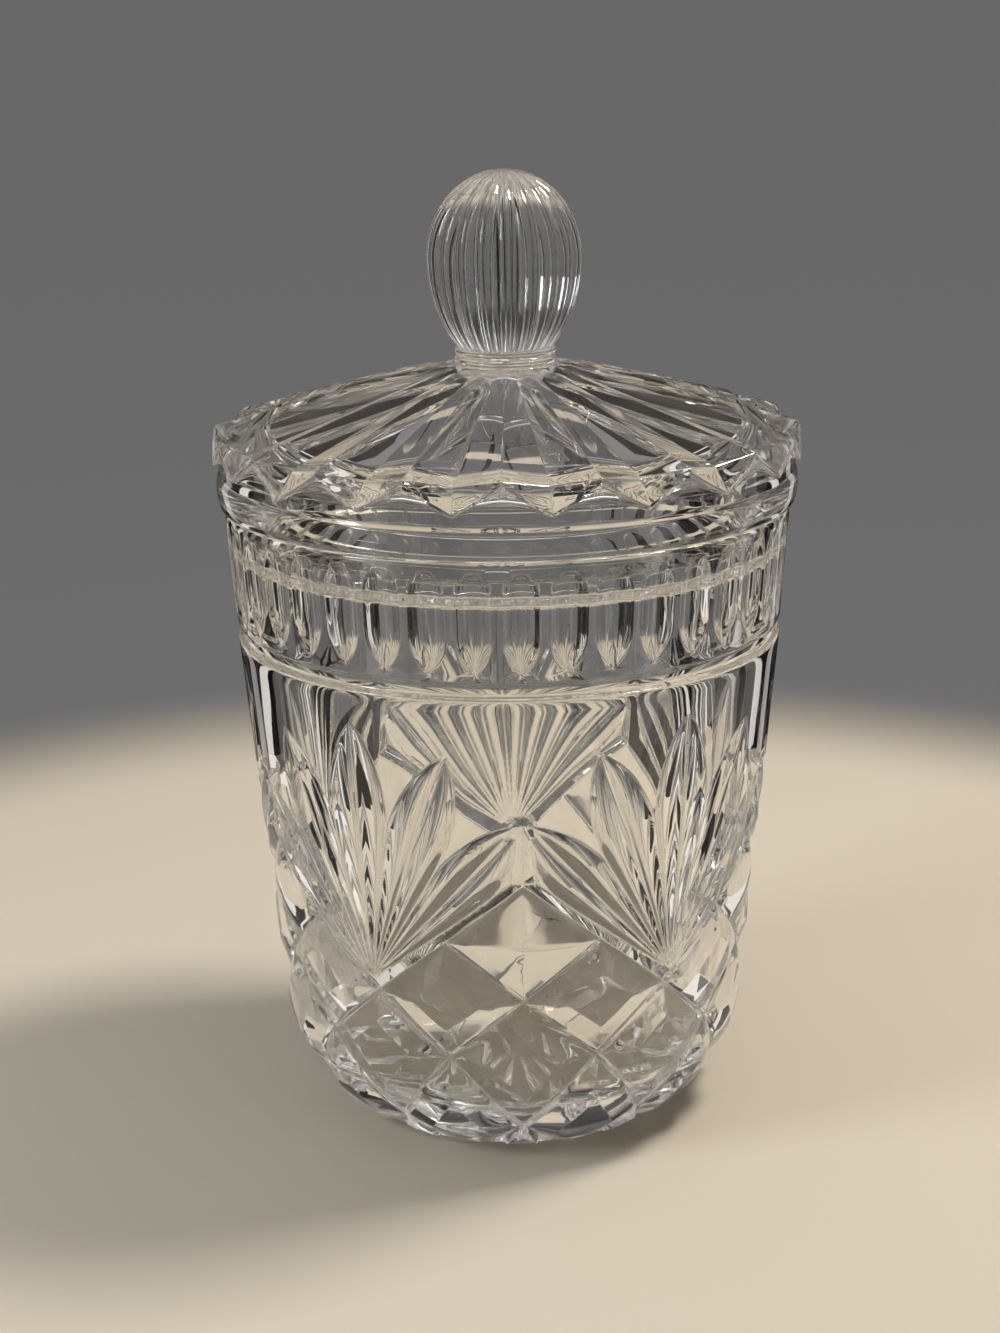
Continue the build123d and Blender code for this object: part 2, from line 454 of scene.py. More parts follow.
@dataclass
class Cutting:
    """Diamonds below and fans above, folded into the wedge between a column and the next fan."""

    line: BodyLine
    wedge: float = 36.0
    node_height: float = 44.4
    row_rise: float = 15.0
    heel_crossing: float = 7.0
    groove_half_width: float = 3.0
    groove_depth: float = 2.4
    peak_height: float = 89.4
    fan_origin: float = 48.5
    leaf_length: float = 63.5
    leaf_step: float = 21.5
    leaf_spread: float = 10.0
    leaf_rib: float = 0.45
    leaf_shortening: float = 0.028
    leaf_widest: float = 0.65
    leaf_slope: float = 0.8
    leaf_hollow: float = 1.6
    pillow: float = 2.0
    pane: float = 0.46
    bevel: float = 2.0
    unroll_radius: float = 60.0

    def unroll(self, angle: Array, run: Array | float) -> Array:
        """Lays angles and runs out flat, in mm."""
        across = np.radians(angle) * self.unroll_radius
        return np.stack([across, run + 0.0 * across], 1)

    def solid(self, angle: Array, run: Array) -> Array:
        """Finds points (x, y, z) of the uncut body in the wedge."""
        r, z, _, _ = self.line.at(run)
        a = np.radians(angle)
        return np.stack([r * np.cos(a), r * np.sin(a), z], 1)

    def laid(self, corners: Sequence[tuple[float, float]], longest: float) -> Array:
        """Divides a path of (angle, height) into short runs and gives rows of (angle, run)."""
        path = divided(np.array(corners, float), longest)
        path[:, 1] = self.line.run_at(path[:, 1])
        return path

    def grooves(self) -> list[Array]:
        """Gives the lattice grooves as rows of (angle, run)."""
        half, full = self.wedge / 2, self.wedge
        node, rise, low = self.node_height, self.row_rise, self.heel_crossing
        lines = [
            [(0, node + 2 * rise), (half, node + rise), (full, node)],
            [(half, node + rise), (0, node)],
            [(0, node), (half, node - rise)],
            [(full, node), (half, node - rise)],
            [(half, node - rise), (0, low)],
            [(half, node - rise), (full, low)],
            [(0, node + 2 * rise), (0, self.peak_height)],
        ]
        return [self.laid(corners, 1.5) for corners in lines]

    def diamonds(self) -> list[tuple[float, float, float, float]]:
        """Gives the bevelled diamonds as middle angle, middle height, reach up and reach down."""
        half, node, rise = self.wedge / 2, self.node_height, self.row_rise
        low = node - rise - self.heel_crossing
        return [
            (half, node, rise, rise),
            (0.0, node - rise, rise, low),
            (self.wedge, node - rise, rise, low),
            (half, self.heel_crossing, low, low),
        ]

    def panes(self) -> list[Array]:
        """Gives the edges of the flat panes inside the bevelled diamonds as rows of (angle, run)."""
        out = []
        side = self.pane * self.wedge / 2
        for angle, z, up, down in self.diamonds():
            top, bottom = z + self.pane * up, max(z - self.pane * down, 0.6)
            corners = [(angle, top), (angle + side, z), (angle, bottom), (angle - side, z), (angle, top)]
            out.append(self.laid(corners, 1.0))
        return out

    def leaf_width(self, share: Array) -> Array:
        """Gives a leaf's half width as a share of its widest, along its length."""
        over = np.clip((share - self.leaf_widest) / (1.0 - self.leaf_widest), 0.0, 1.0)
        return np.where(share < self.leaf_widest, share / self.leaf_widest, 1.0 - over**2.4)

    def leaves(self) -> list[tuple[Array, Array]]:
        """Gives the hollows of half a fan as rows of (angle, run), with their half widths.

        Each leaf has two hollows, straight along the rib between them and bowed on the other side.
        """
        out = []
        share = np.linspace(0.04, 1.0, 72)
        for index, way in ((0, 1), (1, -1), (1, 1), (2, -1), (2, 1)):
            tilt = radians(index * self.leaf_step + way * self.leaf_rib)
            length = self.leaf_length * (1 - self.leaf_shortening * index**2)
            half = self.leaf_widest * length * radians(self.leaf_spread) / 2 * self.leaf_width(share)
            z = self.fan_origin + share * length * cos(tilt) - way * half * sin(tilt)
            run = self.line.run_at(z)
            aside = share * length * sin(tilt) + way * half * cos(tilt)
            angle = self.wedge - np.degrees(aside / self.line.at(run)[0])
            out.append((np.stack([angle, run], 1), half))
        return out

    def cuts(self) -> list[Cut]:
        """Makes every cut of the wedge."""
        half = self.groove_half_width
        slope = self.groove_depth / half
        made = [Cut(self.solid(*path.T), np.full(len(path), half), slope, 1.0) for path in self.grooves()]
        for path, width in self.leaves():
            made.append(Cut(self.solid(*path.T), width, self.leaf_slope, self.leaf_hollow))
        return made

    def depth(self, angle: Array, run: Array) -> Array:
        """Finds how deep the surface lies under the uncut body; angles count from the tall diamonds."""
        points = self.solid(angle, run)
        z = points[:, 2]
        rise, half = self.row_rise, self.wedge / 2
        tall = np.abs(angle) / half + np.abs(z - self.node_height - rise) / rise
        out = np.where(tall < 1.0, self.pillow * tall**2, 0.0)
        for middle, height, up, down in self.diamonds():
            over = np.abs(angle - middle) / half + np.abs(z - height) / np.where(z > height, up, down)
            slant = self.bevel * np.clip((over - self.pane) / (1.0 - self.pane), 0.0, 1.0)
            out = np.maximum(out, np.where(over < 1.0, slant, 0.0))
        for cut in self.cuts():
            out = np.maximum(out, cut.depth(points))
        return out


class Scatter:
    """Keeps places at least a set distance apart, first come first kept."""

    CELL = 0.8

    def __init__(self) -> None:
        """Starts empty."""
        self.kept: list[tuple[float, float]] = []
        self.cells: dict[tuple[int, int], list[int]] = {}

    def add(self, places: Iterable[Sequence[float]], apart: float) -> None:
        """Adds those places (x, y) that are at least a distance from every place already kept."""
        for x, y in places:
            column, row = int(x // self.CELL), int(y // self.CELL)
            near = (
                self.kept[n]
                for i in (column - 1, column, column + 1)
                for j in (row - 1, row, row + 1)
                for n in self.cells.get((i, j), ())
            )
            if all((x - px) ** 2 + (y - py) ** 2 >= apart * apart for px, py in near):
                self.cells.setdefault((column, row), []).append(len(self.kept))
                self.kept.append((float(x), float(y)))


@dataclass
class Jar:
    """The barrel: cut body, cove, fluted collar, rim, smooth inside and flat foot."""

    height: float = 152.5
    rim_radius: float = 68.0
    rim_round: float = 1.6
    collar_foot: float = 124.0
    collar_radius: float = 65.9
    cove_radius: float = 64.1
    mouth_radius: float = 61.5
    mouth_foot: float = 143.5
    inner_radius: float = 59.0
    mouth_step: float = 2.5
    floor_radius: float = 49.0
    floor: float = 14.0
    floor_round: float = 11.0
    columns: int = 720
    flute_count: int = 40
    flute_depth: float = 1.3
    flute_half_width: float = 4.45
    flute_low: float = 126.6
    flute_high: float = 149.6
    groove_step: float = 0.62
    leaf_step: float = 0.8
    open_step: float = 1.35
    cut_apart: float = 0.17
    open_apart: float = 0.8
    side_room: float = 0.16
    end_room: float = 0.3
    wave: float = 0.11

    def __post_init__(self) -> None:
        """Makes the body line and its cutting."""
        self.line = BodyLine()
        self.cutting = Cutting(self.line)
        self.body_run = float(self.line.run_at(np.array(self.line.top - 1.2)))

    def wedge_places(self) -> tuple[Array, int]:
        """Scatters places over one wedge: its border, then the cutting, then the open glass.

        Returns:
            Flat places (x, y), border first, and how many are on the border.
        """
        cutting = self.cutting
        steps = int(cutting.wedge / (360.0 / self.columns))
        angles = np.linspace(0.0, cutting.wedge, steps + 1)
        runs = np.linspace(0.0, self.body_run, int(self.body_run / 0.55) + 1)
        low, high = cutting.unroll(angles, 0.0), cutting.unroll(angles, self.body_run)
        left, right = cutting.unroll(0.0 * runs, runs), cutting.unroll(0.0 * runs + cutting.wedge, runs)
        border = np.concatenate([low, right[1:], high[::-1][1:], left[::-1][1:-1]])
        scatter = Scatter()
        scatter.add(border, 0.0)
        on_border = len(scatter.kept)
        wide = float(low[-1, 0])

        def inside(places: Array) -> Array:
            """Leaves out places on or beyond the border."""
            x, y = places[:, 0], places[:, 1]
            across = (x > self.side_room) & (x < wide - self.side_room)
            return places[across & (y > self.end_room) & (y < self.body_run - self.end_room)]

        half = cutting.groove_half_width
        lines = [(cutting.unroll(*p.T), np.full(len(p), half)) for p in cutting.grooves()]
        leaves = [(cutting.unroll(*p.T), w) for p, w in cutting.leaves()]
        panes = [(cutting.unroll(*p.T), np.zeros(len(p))) for p in cutting.panes()]
        # Stand-off as a share of the half width and a length: middle and edges first, then what is between
        bands = [(0.0, 0.0), (0.0, 0.2), (1.0, -0.14), (1.0, 0.12)]
        bands += [(0.5, 0.0), (0.25, 0.0), (0.75, 0.0), (1.0, 0.45)]
        for share, extra in bands:
            for group, step in ((lines, self.groove_step), (leaves, self.leaf_step), (panes, self.leaf_step)):
                for path, width in group:
                    places = inside(self.beside(path, width, share, extra, step))
                    scatter.add(places, self.cut_apart)
        gap = self.open_step
        rows = np.arange(0.4, self.body_run, gap * 0.866)
        for k, y in enumerate(rows):
            x = np.arange(0.5 * gap * (k % 2), wide, gap)
            scatter.add(inside(np.stack([x, np.full(len(x), y)], 1)), self.open_apart)
        return np.array(scatter.kept), on_border

    @staticmethod
    def beside(path: Array, width: Array, share: float, extra: float, step: float) -> Array:
        """Places in even steps on both sides of a flat path.

        They stand off by a share of the half width that the cut has there, and an extra length.
        """
        long = np.concatenate([[0.0], np.cumsum(np.linalg.norm(np.diff(path, axis=0), axis=1))])
        at = np.linspace(0.0, long[-1], max(2, int(long[-1] / step) + 1))
        x, y = np.interp(at, long, path[:, 0]), np.interp(at, long, path[:, 1])
        off = share * np.interp(at, long, width) + extra
        tx, ty = np.gradient(x), np.gradient(y)
        size = np.hypot(tx, ty)
        sides = [1.0, -1.0] if share or extra else [1.0]
        out = [np.stack([x - s * off * ty / size, y + s * off * tx / size], 1) for s in sides]
        return np.concatenate(out)

    def body(self, shell: Shell) -> tuple[Array, Array]:
        """Adds the cut body, one wedge mirrored round the axis, and gives its lowest and highest ring."""
        cutting, line = self.cutting, self.line
        places, on_border = self.wedge_places()
        made = delaunay_2d_cdt([Vector(p) for p in places], [], [list(range(on_border))], 1, 1e-6)
        flat = np.array([tuple(v) for v in made[0]])
        triangles = np.array([face for face in made[2] if len(face) == 3])
        a, b, c = (flat[triangles[:, k]] for k in range(3))
        area = (b[:, 0] - a[:, 0]) * (c[:, 1] - a[:, 1]) - (b[:, 1] - a[:, 1]) * (c[:, 0] - a[:, 0])
        triangles[area < 0] = triangles[area < 0][:, ::-1]
        angle = np.degrees(flat[:, 0] / cutting.unroll_radius)
        run = flat[:, 1]
        depth = cutting.depth(angle, run)
        r, z, nr, nz = line.at(run)
        r, z = r - depth * nr, z - depth * nz
        starts = []
        for k in range(int(360.0 / cutting.wedge)):
            turn = FRONT + cutting.wedge * k + (angle if k % 2 == 0 else cutting.wedge - angle)
            rad = np.radians(turn)
            points = np.stack([r * np.cos(rad), r * np.sin(rad), z], 1)
            numbers = shell.add(points, turn, run + line.foot_radius)
            shell.face(numbers[triangles] if k % 2 == 0 else numbers[triangles][:, ::-1])
            starts.append(numbers)
        rings = []
        for level in (0.0, self.body_run):
            row = np.where(np.abs(run - level) < 1e-4)[0]
            row = row[np.argsort(angle[row])]
            ring: list[int] = []
            for k, numbers in enumerate(starts):
                ring += list(numbers[row][:-1] if k % 2 == 0 else numbers[row][::-1][:-1])
            rings.append(np.array(ring))
        return rings[0], rings[1]

    def flute_width(self, z: float) -> float:
        """Half width of a flute at a height: pointed below, rounder above."""
        share = (z - self.flute_low) / (self.flute_high - self.flute_low)
        if share <= 0.0 or share >= 1.0:
            return 0.0
        low, high = 0.36, 0.72
        if share < low:
            return self.flute_half_width * sin(0.5 * pi * share / low) ** 0.9
        if share > high:
            return self.flute_half_width * sqrt(max(0.0, 1.0 - ((share - high) / (1 - high)) ** 2))
        return self.flute_half_width

    def flute_turns(self, z: float) -> tuple[Array, Array]:
        """Spreads the points of a ring at a height along the flutes' edges, as fold_columns gives them."""
        pitch = 360.0 / self.flute_count
        per_half = self.columns // self.flute_count // 2
        inner = per_half - 3
        width = np.degrees(self.flute_width(z) / self.rim_radius)
        plain = 0.5 * pitch * inner / per_half
        edge = float(np.clip(width, 0.3 * plain, 0.46 * pitch)) if width > 0 else plain
        half = np.concatenate([np.linspace(0.0, edge, inner + 1), np.linspace(edge, 0.5 * pitch, 4)[1:]])
        return fold_columns(half, self.flute_count, FRONT)

    def upper_outline(self) -> Array:
        """Outline from the body's top over the rim and down to the middle of the floor."""
        r0, z0, _, _ = self.line.at(np.array([self.body_run]))
        top = self.line.top
        corners = [
            Corner(float(r0[0]), float(z0[0])),
            Corner(self.collar_radius - 0.1, top, 1.1),
            Corner(self.cove_radius, top + 0.5, 1.2),
            Corner(self.cove_radius, self.collar_foot - 0.5, 1.2),
            Corner(self.collar_radius, self.collar_foot, 1.6),
            Corner(self.rim_radius, self.height, self.rim_round),
            Corner(self.mouth_radius, self.height, self.rim_round),
            Corner(self.mouth_radius, self.mouth_foot, 2.0),
            Corner(self.inner_radius, self.mouth_foot - self.mouth_step, 3.0),
            Corner(self.floor_radius, self.floor, self.floor_round),
            Corner(3.0, self.floor),
        ]
        return divided(rounded_outline(corners, 6), 1.1)

    def build(self) -> bpy.types.Object:
        """Builds the jar's mesh."""
        shell = Shell()
        low, high = self.body(shell)
        even = FRONT + 360.0 / self.columns * np.arange(self.columns)
        foot = self.line.foot_radius
        inner = shell.ring(3.0, even, 0.0, 3.0)
        shell.cap(inner, 0.0, 0.0, last=False)
        outer = shell.ring(foot - 1.0, even, 0.0, foot - 1.0)
        shell.bridge(inner, outer)
        shell.bridge(outer, low)
        ring = high
        run = foot + self.body_run
        outline = self.upper_outline()
        inside = False
        rng = np.random.default_rng(7)
        phases = rng.uniform(0.0, 2 * pi, 6)
        for (r_before, z_before), (r, z) in zip(outline, outline[1:]):
            run += hypot(r - r_before, z - z_before)
            inside = inside or (r < self.mouth_radius + 0.01 and z < self.height - 2.0)
            if self.collar_foot < z < self.height and not inside:
                turns, offsets = self.flute_turns(z)
                width = max(self.flute_width(z), 1e-6)
                share = np.clip(np.radians(offsets) * self.rim_radius / width, 0.0, 1.0)
                depth = self.flute_depth * min(1.0, width / self.flute_half_width) ** 1.2
                radii = r - depth * (1.0 - share**2)
            else:
                turns, radii = even, np.full(self.columns, r)
            if inside and r > 8.0:
                t = np.radians(turns)
                ripple = np.sin(3 * t + phases[0] + z / 17) + np.sin(5 * t + phases[1] - z / 23)
                ripple += 0.7 * np.sin(8 * t + phases[2] + z / 11) + 0.5 * np.sin(13 * t + phases[3])
                radii = radii + self.wave * ripple
            new = shell.ring(radii, turns, z, run)
            shell.bridge(ring, new)
            ring = new
        shell.cap(ring, self.floor, run + 3.0, last=True)
        return weld(shell.write("jar_glass"))

    def dress(self, piece: bpy.types.Object) -> None:
        """Gives the jar its finish and its place in the frame."""
        piece.data.materials.append(CrystalFinish("jar_crystal_glass").material())
        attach(piece, Body.JAR.value)
        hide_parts("jar")


def weld(piece: bpy.types.Object) -> bpy.types.Object:
    """Joins points that lie on one another, where mirrored wedges meet."""
    work = bmesh.new()
    work.from_mesh(piece.data)
    bmesh.ops.remove_doubles(work, verts=work.verts, dist=1e-6)
    work.to_mesh(piece.data)
    work.free()
    return piece


# ---------------------------------------------------------------- lid


@dataclass
class Lid:
    """The pleated lid: zigzag lip, beaded skirt, plug flange, hollow underside and ringed neck."""

    turn: float = -3.3
    seat: float = 152.5
    seat_gap: float = 0.12
    pleat_count: int = 20
    radius: float = 70.3
    apex: float = 189.0
    ridge_slope: float = 18.8 / 70.3
    valley_slope: float = 21.6 / 70.3
    lip_apex: float = 178.6
    lip_ridge_slope: float = 10.0 / 70.3
    lip_valley_slope: float = 16.0 / 70.3
    lip_edge: float = 0.8
    bevel_slope: float = 1.2
    cap_top: float = 186.6
    cap_slope: float = 0.16
    cap_blend: float = 0.22
    skirt_radius: float = 68.9
    bead_height: float = 7.6
    bead_bulge: float = 0.5
    flange_radius: float = 60.9
    flange_foot: float = 146.5
    hollow_radius: float = 57.3
    hollow_edge: float = 164.4
    hollow_top: float = 178.5
    neck_radius: float = 11.4
    neck_foot: float = 184.776
    neck_top: float = 188.776
    neck_ring: float = 0.7
    fillet_radius: float = 13.2
    fillet_lift: float = 0.4
    pleat_rings: tuple[float, ...] = (64.0, 60.0, 55.0, 49.0, 43.0, 37.5, 33.0, 29.5, 27.0, 25.0, 23.6)

    def __post_init__(self) -> None:
        """Spreads the columns over half a pleat, close together at its ridge and valley."""
        self.half = 180.0 / self.pleat_count
        shares = np.array([0.0, 0.03, 0.085, 0.18, 0.33, 0.5, 0.67, 0.82, 0.915, 0.97, 1.0])
        self.turns, self.offsets = fold_columns(self.half * shares, self.pleat_count, FRONT + self.turn)

    def fall(self, ridge: float, valley: float) -> Array:
        """Slope of a flat pleat facet at each column, from the slopes along its ridge and its valley."""
        across = (valley - ridge * cos(radians(self.half))) / sin(radians(self.half))
        b = np.radians(self.offsets)
        return ridge * np.cos(b) + across * np.sin(b)

    def top(self, r: Array | float) -> Array:
        """Height of the pleated top at each column: the lower of the smooth cap and the pleats."""
        cap = self.cap_top - self.cap_slope * r
        roof = self.apex - r * self.fall(self.ridge_slope, self.valley_slope)
        k = self.cap_blend
        return -k * np.log(np.exp(-(roof - self.seat) / k + (cap - self.seat) / k) + 1.0) + cap

    def under(self, r: float) -> Array:
        """Height of the lip's zigzag underside at each column."""
        return self.lip_apex - r * self.fall(self.lip_ridge_slope, self.lip_valley_slope)

    def bevel_fall(self) -> Array:
        """Slope of the lip's bevel at each column."""
        return self.fall(self.bevel_slope, self.bevel_slope + self.lip_valley_slope - self.lip_ridge_slope)

    def bevel(self, r: float) -> Array:
        """Height of the lip's bevel at each column."""
        ridge = self.lip_apex - self.lip_ridge_slope * self.radius + self.lip_edge
        return ridge + self.bevel_slope * self.radius - r * self.bevel_fall()

    def bevel_top(self) -> Array:
        """Radius at which the bevel meets the pleats, at each column."""
        pleats = self.fall(self.ridge_slope, self.valley_slope)
        return (self.bevel(0.0) - self.apex) / (self.bevel_fall() - pleats)

    def outside(self) -> list[tuple[Array | float, Array | float]]:
        """Rings from the skirt's foot up over the lip to the neck's foot, as radius and height."""
        foot = self.seat + self.seat_gap
        rings = []
        middle, size = self.seat + self.bead_height / 2, self.bead_height / 2
        for share in np.linspace(-0.94, 1.0, 15):
            bulge = 2 * self.bead_bulge * sqrt(max(0.0, 1 - share**2)) - self.bead_bulge * (1 - share) / 2
            rings.append((self.skirt_radius + bulge * 0.9, middle + size * share))
        rings[0] = (rings[0][0], foot + 0.25)
        join = self.under(self.skirt_radius)
        last = self.seat + self.bead_height
        for share in (0.15, 0.4, 0.7, 0.93):
            rings.append((self.skirt_radius, last + share * (join - last)))
        edge, low = self.radius, self.under(self.radius)
        start, inner = self.bevel(edge), self.bevel_top()
        rings += [(self.skirt_radius + 0.12, join), (edge - 0.5, self.under(edge - 0.5))]
        rings += [(edge - 0.1, low + 0.04), (edge, low + 0.18), (edge, start - 0.12)]
        for share in (0.03, 0.3, 0.6, 0.94):
            rings.append((edge + share * (inner - edge), start + share * (self.top(inner) - start)))
        near_knob = np.arange(22.6, 13.4, -0.6).tolist()
        for r in (inner - 0.15, 0.5 * (inner + self.pleat_rings[0]), *self.pleat_rings, *near_knob):
            rings.append((r, self.top(r)))
        return rings

    def neck(self) -> list[tuple[float, float]]:
        """Rings of the neck, with its two thin round rings."""
        rings = []
        for share in (0.0, 0.35, 0.7):
            r = self.fillet_radius - share * (self.fillet_radius - self.neck_radius)
            rings.append((r, self.cap_top - self.cap_slope * r + self.fillet_lift * share**2))
        for share in np.linspace(0.0, 1.0, 25)[3:]:
            bump = self.neck_ring * abs(sin(2 * pi * share)) ** 0.8
            rings.append((self.neck_radius + bump, self.neck_foot + share * (self.neck_top - self.neck_foot)))
        return rings

    def build(self) -> bpy.types.Object:
        """Builds the lid's mesh."""
        seat = self.seat + self.seat_gap
        corners = [
            Corner(2.0, self.hollow_top),
            Corner(self.neck_radius, self.hollow_top, 6.0),
            Corner(self.hollow_radius, self.hollow_edge, 4.0),
            Corner(self.hollow_radius, self.flange_foot, 1.2),
            Corner(self.flange_radius, self.flange_foot, 1.2),
            Corner(self.flange_radius, seat, 0.6),
            Corner(self.skirt_radius - 0.8, seat),
        ]
        below = divided(rounded_outline(corners, 6), 4.0)
        rings = [*map(tuple, below), *self.outside(), *self.neck()]
        shell = Shell()
        ring, run = None, 0.0
        before = (0.0, self.hollow_top)
        for r, z in rings:
            at = (float(np.mean(r)), float(np.mean(z)))
            run += hypot(at[0] - before[0], at[1] - before[1])
            before = at
            new = shell.ring(r, self.turns, z, run)
            if ring is None:
                shell.cap(new, self.hollow_top, 0.0, last=False)
            else:
                shell.bridge(ring, new)
            ring = new
        inner = shell.ring(3.0, self.turns, self.neck_top, run + 8.0)
        shell.bridge(ring, inner, Part.JOINT)
        shell.cap(inner, self.neck_top, run + 11.0, last=True, part=Part.JOINT)
        return shell.write("lid_glass")

    def dress(self, piece: bpy.types.Object, joint: bpy.types.Material) -> None:
        """Gives the lid its finish and its place in the frame."""
        piece.data.materials.append(CrystalFinish("lid_crystal_glass", mark_scale=30.0).material())
        piece.data.materials.append(joint)
        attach(piece, Body.LID.value)
        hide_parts("lid")


# ---------------------------------------------------------------- knob


@dataclass
class Knob:
    """The egg-shaped finial with convex ribs from its neck to its tip."""

    foot: float = 188.776
    foot_radius: float = 11.4
    radius: float = 18.3
    below: float = 21.3
    above: float = 20.0
    tip_radius: float = 1.6
    rib_count: int = 20
    rib_depth: float = 0.075
    rows: int = 72

    def __post_init__(self) -> None:
        """Spreads the columns over half a rib, close together in the valley between ribs."""
        half = 180.0 / self.rib_count
        shares = np.array([0.0, 0.2, 0.4, 0.58, 0.74, 0.87, 0.95, 1.0])
        self.turns, offsets = fold_columns(half * shares, self.rib_count, FRONT)
        self.across = offsets / half

    def build(self) -> bpy.types.Object:
        """Builds the knob's mesh."""
        middle = self.foot + self.below
        lower = self.below / sqrt(1 - (self.foot_radius / self.radius) ** 2)
        start = -np.arcsin(self.below / lower)
        end = 0.5 * pi - self.tip_radius / self.radius
        rib = 1.0 - self.rib_depth * self.across**2
        shell = Shell()
        inner = shell.ring(3.0, self.turns, self.foot, 3.0)
        shell.cap(inner, self.foot, 0.0, last=False, part=Part.JOINT)
        ring, run = inner, 3.0
        for i, turn in enumerate(np.linspace(start, end, self.rows)):
            crest = self.radius * cos(turn)
            z = middle + (self.above if turn > 0 else lower) * sin(turn)
            run += 0.8
            new = shell.ring(crest * rib, self.turns, z, run)
            shell.bridge(ring, new, Part.JOINT if i == 0 else Part.SURFACE)
            ring = new
        top = middle + self.above * sin(end)
        shell.cap(ring, top, run + self.tip_radius, last=True)
        return shell.write("knob_glass")

    def dress(self, piece: bpy.types.Object, joint: bpy.types.Material) -> None:
        """Gives the knob its finish and its place in the frame."""
        piece.data.materials.append(CrystalFinish("knob_crystal_glass", mark_scale=60.0).material())
        piece.data.materials.append(joint)
        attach(piece, Body.LID.value)
        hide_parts("knob")


# ---------------------------------------------------------------- studio and camera


@dataclass(frozen=True)
class SoftLight:
    """One soft light of the studio, aimed at the object; metres."""

    name: str
    place: Triple
    size: tuple[float, float]
    power: float
    colour: Triple = (1.0, 1.0, 1.0)
    aim: Triple = (0.0, 0.0, 0.11)

    def build(self) -> None:
        """Makes the light."""
        lamp = bpy.data.lights.new(self.name, "AREA")
        lamp.shape = "RECTANGLE"
        lamp.size, lamp.size_y = self.size
        lamp.energy = self.power
        lamp.color = self.colour
        light = placed(self.name, lamp)
        light.location = self.place
        ahead = Vector(self.aim) - Vector(self.place)
        light.rotation_euler = ahead.to_track_quat("-Z", "Y").to_euler()
        light.visible_camera = False


@dataclass(frozen=True)
class Card:
    """A tall card beside the object, dark or bright, that only the glass shows; metres and degrees."""

    name: str
    turn: float
    tone: float
    distance: float = 0.27
    width: float = 0.10
    height: float = 0.42

    def build(self) -> None:
        """Makes the card, standing on the floor and facing the object."""
        middle = Vector((sin(radians(self.turn)), cos(radians(self.turn)), 0.0))
        aside = Vector((middle.y, -middle.x, 0.0)) * self.width / 2
        foot = middle * self.distance
        up = Vector((0.0, 0.0, self.height))
        card = quad(self.name, [foot - aside, foot + aside, foot + aside + up, foot - aside + up])
        card.visible_camera = card.visible_diffuse = card.visible_shadow = False
        material, nodes, _ = node_material(self.name)
        dark = {"Base Color": (0.01, 0.01, 0.01, 1.0), "Specular IOR Level": 0.0}
        glow = {"Emission Color": (1.0, 0.97, 0.92, 1.0), "Emission Strength": self.tone}
        set_inputs(nodes["Principled BSDF"], dark | glow)
        card.data.materials.append(material)


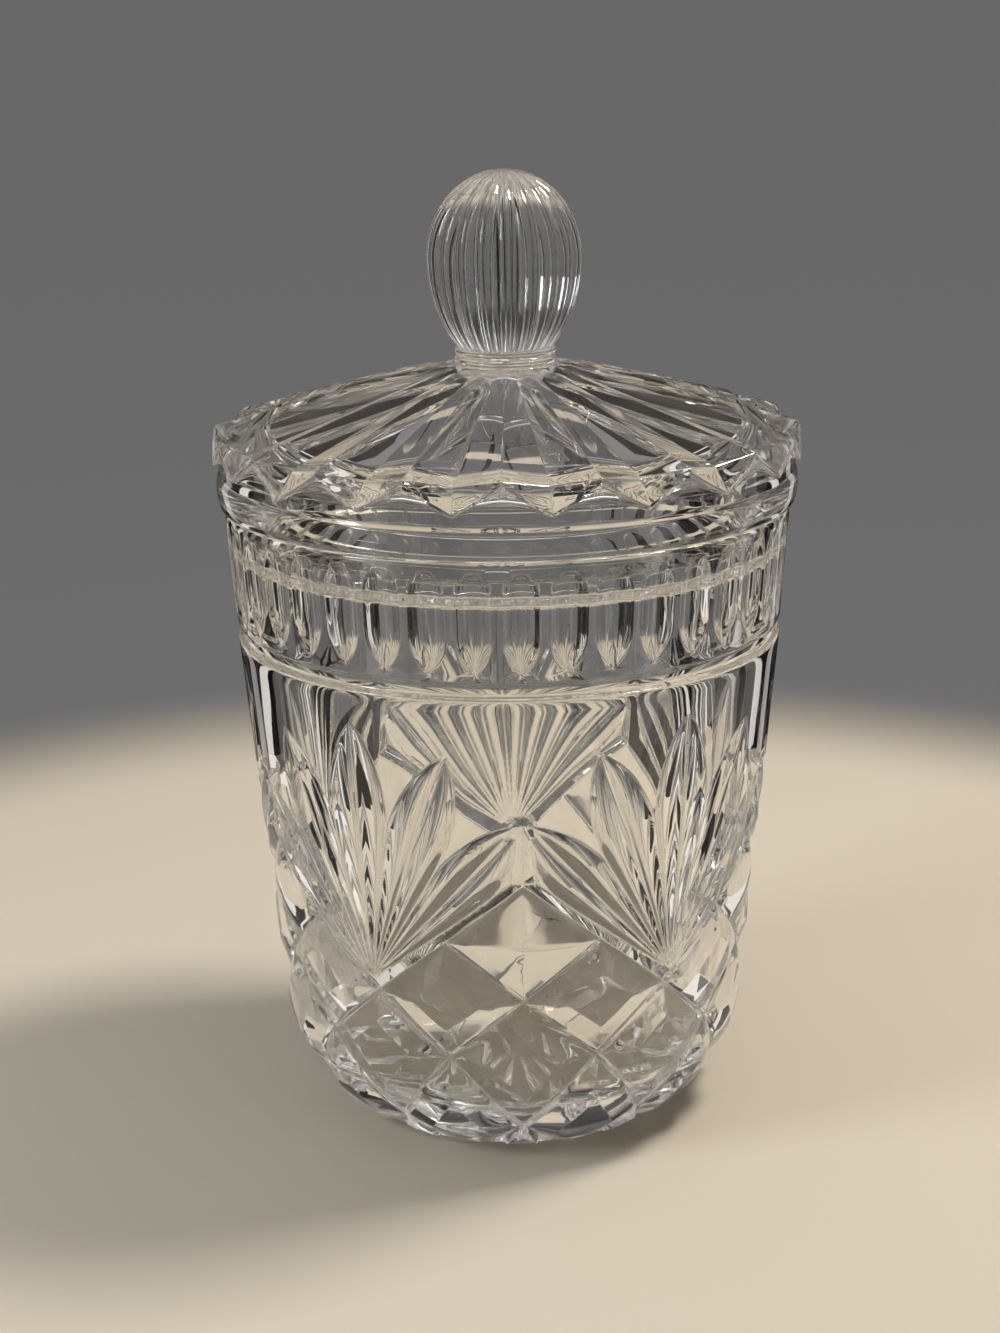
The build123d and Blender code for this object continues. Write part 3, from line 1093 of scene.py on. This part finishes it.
@dataclass
class Studio:
    """Pale floor, soft lights, cards that the glass shows, and a dim room; metres and degrees.

    The room is as grey as the far floor near the horizon, dark above it and lighter overhead. The
    heights of those bands are parts of an upright length of 1.
    """

    floor_half: float = 60.0
    floor_drop: float = 0.0002
    floor_near: Triple = (0.56, 0.50, 0.41)
    floor_far: Triple = (0.13, 0.13, 0.132)
    shade: Triple = (0.04, 0.04, 0.042)
    room: Triple = (0.22, 0.22, 0.225)
    horizon: float = 0.10
    shade_band: tuple[float, float] = (0.20, 0.30)
    overhead: float = 0.65
    dark_cards: tuple[float, ...] = (33.0, 62.0, 104.0, 150.0)
    bright_cards: tuple[float, ...] = (48.0, 84.0, 127.0)

    def build(self) -> None:
        """Makes the floor, the lights and the world."""
        half = self.floor_half
        corners = [(-half, -half, 0.0), (half, -half, 0.0), (half, half, 0.0), (-half, half, 0.0)]
        floor = quad("studio_floor", corners)
        floor.location.z = -self.floor_drop
        # glow: painted light that the near paper shows through the glass, also in the object's shadow
        paper = StageFinish(
            "floor_paper", self.floor_near, self.floor_far, near_reach=0.26, far_reach=0.37, glow=0.1
        )
        floor.data.materials.append(paper.material())
        for light in (
            SoftLight("key_light", (0.42, 0.08, 0.92), (0.20, 0.20), 8.0, (1.0, 0.94, 0.86)),
            SoftLight("window_light", (-0.75, -0.35, 0.62), (0.30, 0.40), 4.0, (0.92, 0.97, 1.0)),
            SoftLight("top_light", (0.0, -0.1, 1.3), (0.9, 0.9), 3.2),
        ):
            light.build()
        for turn in self.dark_cards:
            Card("dark_card", turn, 0.0).build()
            Card("dark_card", -turn, 0.0).build()
        for turn in self.bright_cards:
            Card("bright_card", turn, 0.9, width=0.035).build()
            Card("bright_card", -turn, 0.9, width=0.035).build()
        self.build_world()

    def build_world(self) -> None:
        """Makes the room: its tone changes with height alone."""
        world = bpy.data.worlds.new("studio_room")
        world.use_nodes = True
        nodes, links = world.node_tree.nodes, world.node_tree.links
        height = nodes.new("ShaderNodeSeparateXYZ")
        links.new(nodes.new("ShaderNodeTexCoord").outputs["Generated"], height.inputs["Vector"])
        tones = nodes.new("ShaderNodeValToRGB")
        links.new(height.outputs["Z"], tones.inputs["Fac"])
        stops = tones.color_ramp.elements
        stops[0].position, stops[1].position = self.horizon, self.overhead
        stops[0].color, stops[1].color = (*self.floor_far, 1.0), (*self.room, 1.0)
        for at in self.shade_band:
            stops.new(at).color = (*self.shade, 1.0)
        links.new(tones.outputs["Color"], nodes["Background"].inputs["Color"])
        bpy.context.scene.world = world


@dataclass(frozen=True)
class PhotoCamera:
    """The camera at the photograph's viewing angle, from lengths in mm and angles in degrees."""

    distance: float = 591.0
    height: float = 281.5
    aside: float = -2.33
    turn: float = -2.1
    pitch: float = 16.24
    roll: float = -0.812
    focal_pixels: float = 2500.0
    image_height: float = 1333.0

    def build(self) -> None:
        """Makes the camera and gives it to the scene."""
        data = bpy.data.cameras.new("photo_camera")
        data.sensor_fit = "AUTO"
        data.sensor_width = 36.0
        data.lens = 36.0 * self.focal_pixels / self.image_height
        data.clip_start = 0.01
        camera = placed("photo_camera", data)
        turn = Matrix.Rotation(radians(self.turn), 4, "Z")
        place = turn @ Vector((self.aside * MM, -self.distance * MM, self.height * MM))
        tilt = Matrix.Rotation(radians(90.0 - self.pitch), 4, "X")
        roll = Matrix.Rotation(radians(self.roll), 4, "Z")
        camera.matrix_world = Matrix.Translation(place) @ turn @ tilt @ roll
        bpy.context.scene.camera = camera


def main() -> None:
    """Builds the camera, the studio and the pieces in order."""
    logging.basicConfig(level=logging.INFO, format="%(name)s %(message)s")
    scene = bpy.context.scene
    scene.view_settings.view_transform = "Standard"
    scene.cycles.max_bounces = LIGHT_BOUNCES
    scene.cycles.transmission_bounces = LIGHT_BOUNCES
    scene.cycles.glossy_bounces = LIGHT_BOUNCES
    PhotoCamera().build()
    Studio().build()
    joint = JointFinish().material()
    jar = Jar()
    jar.dress(jar.build())
    lid = Lid()
    lid.dress(lid.build(), joint)
    knob = Knob()
    knob.dress(knob.build(), joint)


if __name__ == "__main__":
    main()
